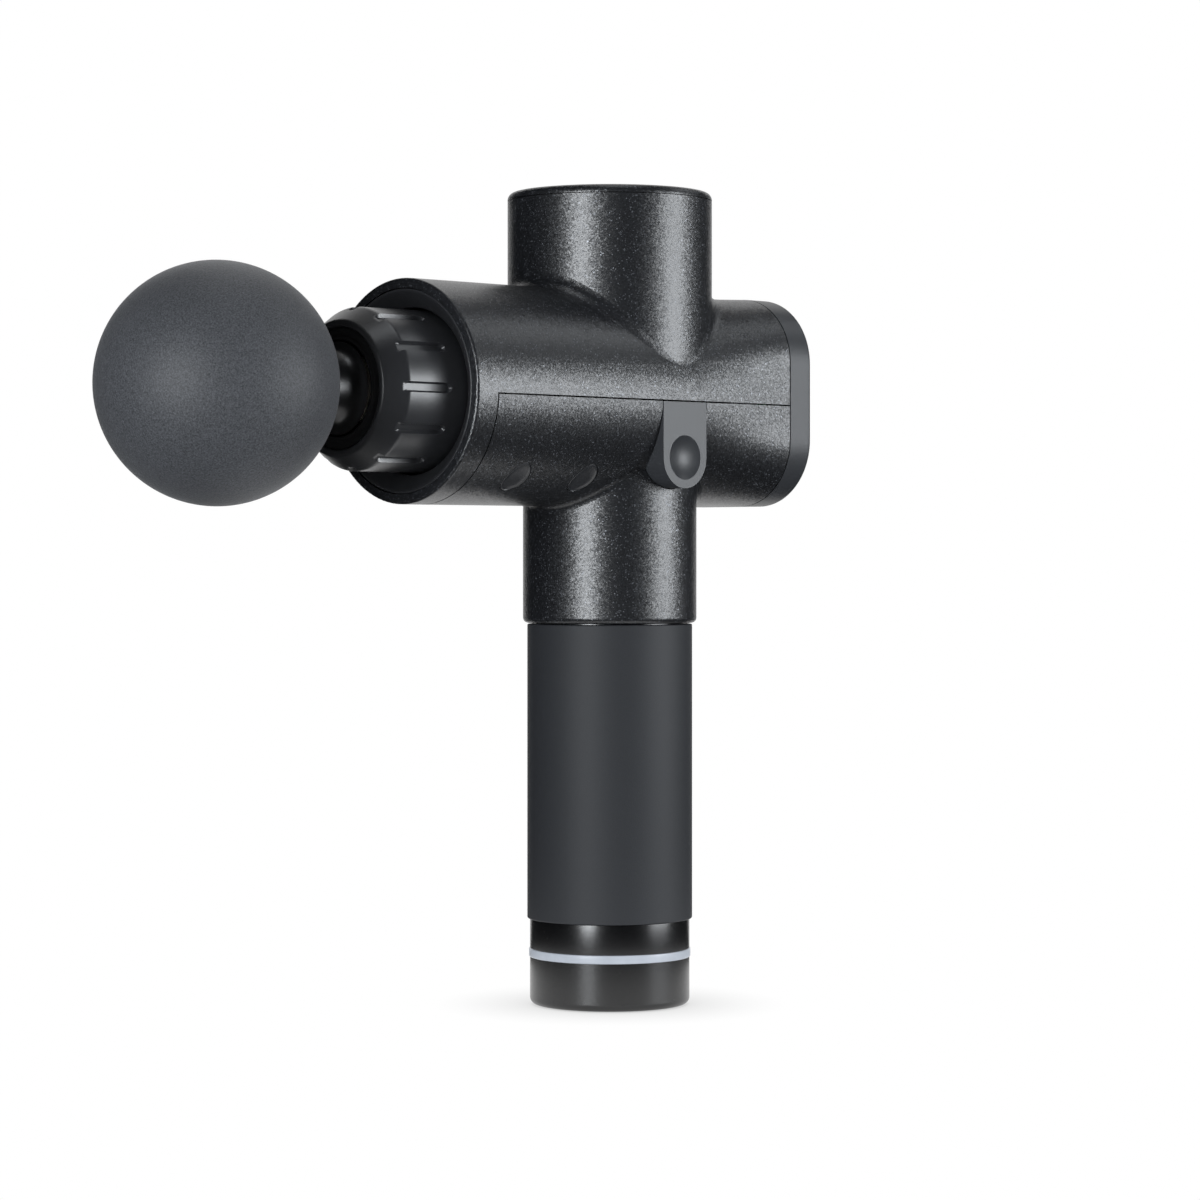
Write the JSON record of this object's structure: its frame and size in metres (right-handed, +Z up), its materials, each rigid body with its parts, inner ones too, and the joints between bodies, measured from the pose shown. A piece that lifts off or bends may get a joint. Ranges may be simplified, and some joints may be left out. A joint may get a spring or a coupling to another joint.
{
  "type": "massage gun",
  "caption": "Cordless percussion massage gun with a ribbed front collar, a round foam ball head, a rubber-sleeved battery handle and a lit ring near its base.",
  "frame": {"origin": "centre of the flat standing face under the handle, on the handle's axis", "axes": "+Z up along the handle, +X towards the ball head, +Y to the massager's left"},
  "size_m": [0.2388, 0.0664, 0.2416],
  "materials": {
    "shell_black": "satin",
    "cap_grey": "satin",
    "collar_black": "satin",
    "liner_black": "matte",
    "gloss_black": "gloss",
    "battery_black": "satin",
    "grip_rubber": "matte",
    "seal_rubber": "matte",
    "ball_foam": "matte",
    "light_white": "satin",
    "lens_glass": "gloss",
    "steel": "brushed",
    "alloy": "satin",
    "magnet_nickel": "gloss",
    "copper_winding": "gloss",
    "guide_plastic": "matte",
    "bush_plastic": "satin",
    "board_green": "satin",
    "chip_black": "matte",
    "cell_wrap": "gloss",
    "contact_brass": "satin"
  },
  "bodies": {
    "housing": {"upper_housing": "shell_black", "lower_housing": "shell_black", "side_cover_left": "cap_grey", "side_cover_right": "cap_grey", "screw_plugs": "liner_black", "shell_screws": "steel", "crown_lid": "shell_black", "rear_cap": "cap_grey", "display_lens": "lens_glass", "control_board": "board_green", "display_module": "chip_black", "push_switches": "chip_black", "drive_board": "board_green", "power_chips": "chip_black", "storage_capacitor": "alloy", "nose_liner": "liner_black", "nose_collar": "collar_black", "dust_seal": "seal_rubber", "guide_block": "guide_plastic", "plunger_bushes": "bush_plastic", "motor_bracket": "alloy", "motor_base": "alloy", "bracket_screws": "steel", "motor_bearings": "steel", "stator": "steel", "windings": "copper_winding", "contact_plate": "guide_plastic", "neck_contacts": "contact_brass"},
    "rotor": {"motor_can": "steel", "magnets": "magnet_nickel", "motor_shaft": "steel", "crank_disc": "steel", "crank_pin": "steel", "counterweight": "steel"},
    "plunger_unit": {"plunger": "bush_plastic", "wrist_pin": "steel"},
    "rod_unit": {"connecting_rod": "alloy", "big_end_bearing": "steel", "small_end_bush": "contact_brass"},
    "head": {"head_stem": "gloss_black", "stem_rings": "seal_rubber", "foam_ball": "ball_foam"},
    "battery": {"battery_tube": "battery_black", "grip_sleeve": "grip_rubber", "handle_band": "battery_black", "light_ring": "light_white", "pack_lid": "battery_black", "lower_cells": "cell_wrap", "upper_cells": "cell_wrap", "cell_holders": "chip_black", "nickel_strips": "magnet_nickel", "base_cup": "battery_black", "base_board": "board_green", "charge_socket": "gloss_black", "base_switch": "chip_black", "base_lamps": "light_white"},
    "minus_button": {"minus_key": "collar_black"},
    "power_button": {"power_key": "collar_black"},
    "plus_button": {"plus_key": "collar_black"},
    "base_button": {"base_key": "gloss_black"}
  },
  "joints": [
    {"name": "crank_spin", "type": "hinge", "parent": "housing", "child": "rotor", "pos_m": [0, 0, 0.185], "axis": [0, 0, 1], "continuous": true},
    {"name": "plunger_slide", "type": "slide", "parent": "housing", "child": "plunger_unit", "axis": [1, 0, 0], "range_m": [-0.012, 0]},
    {"name": "rod_swing", "type": "hinge", "parent": "plunger_unit", "child": "rod_unit", "pos_m": [0.04, 0, 0.18], "axis": [0, 0, 1], "range_deg": [-10.2, 10.2]},
    {"name": "head_pull", "type": "slide", "parent": "plunger_unit", "child": "head", "axis": [1, 0, 0], "range_m": [0, 0.045]},
    {"name": "battery_pull", "type": "slide", "parent": "housing", "child": "battery", "axis": [0, 0, -1], "range_m": [0, 0.04]},
    {"name": "minus_press", "type": "slide", "parent": "housing", "child": "minus_button", "axis": [1, 0, 0], "range_m": [0, 0.0008], "stiffness_N_per_m": 600, "springref_m": -0.0005},
    {"name": "power_press", "type": "slide", "parent": "housing", "child": "power_button", "axis": [1, 0, 0], "range_m": [0, 0.0008], "stiffness_N_per_m": 600, "springref_m": -0.0005},
    {"name": "plus_press", "type": "slide", "parent": "housing", "child": "plus_button", "axis": [1, 0, 0], "range_m": [0, 0.0008], "stiffness_N_per_m": 600, "springref_m": -0.0005},
    {"name": "base_press", "type": "slide", "parent": "battery", "child": "base_button", "axis": [0, 0, 1], "range_m": [0, 0.0008], "stiffness_N_per_m": 600, "springref_m": -0.0005}
  ]
}
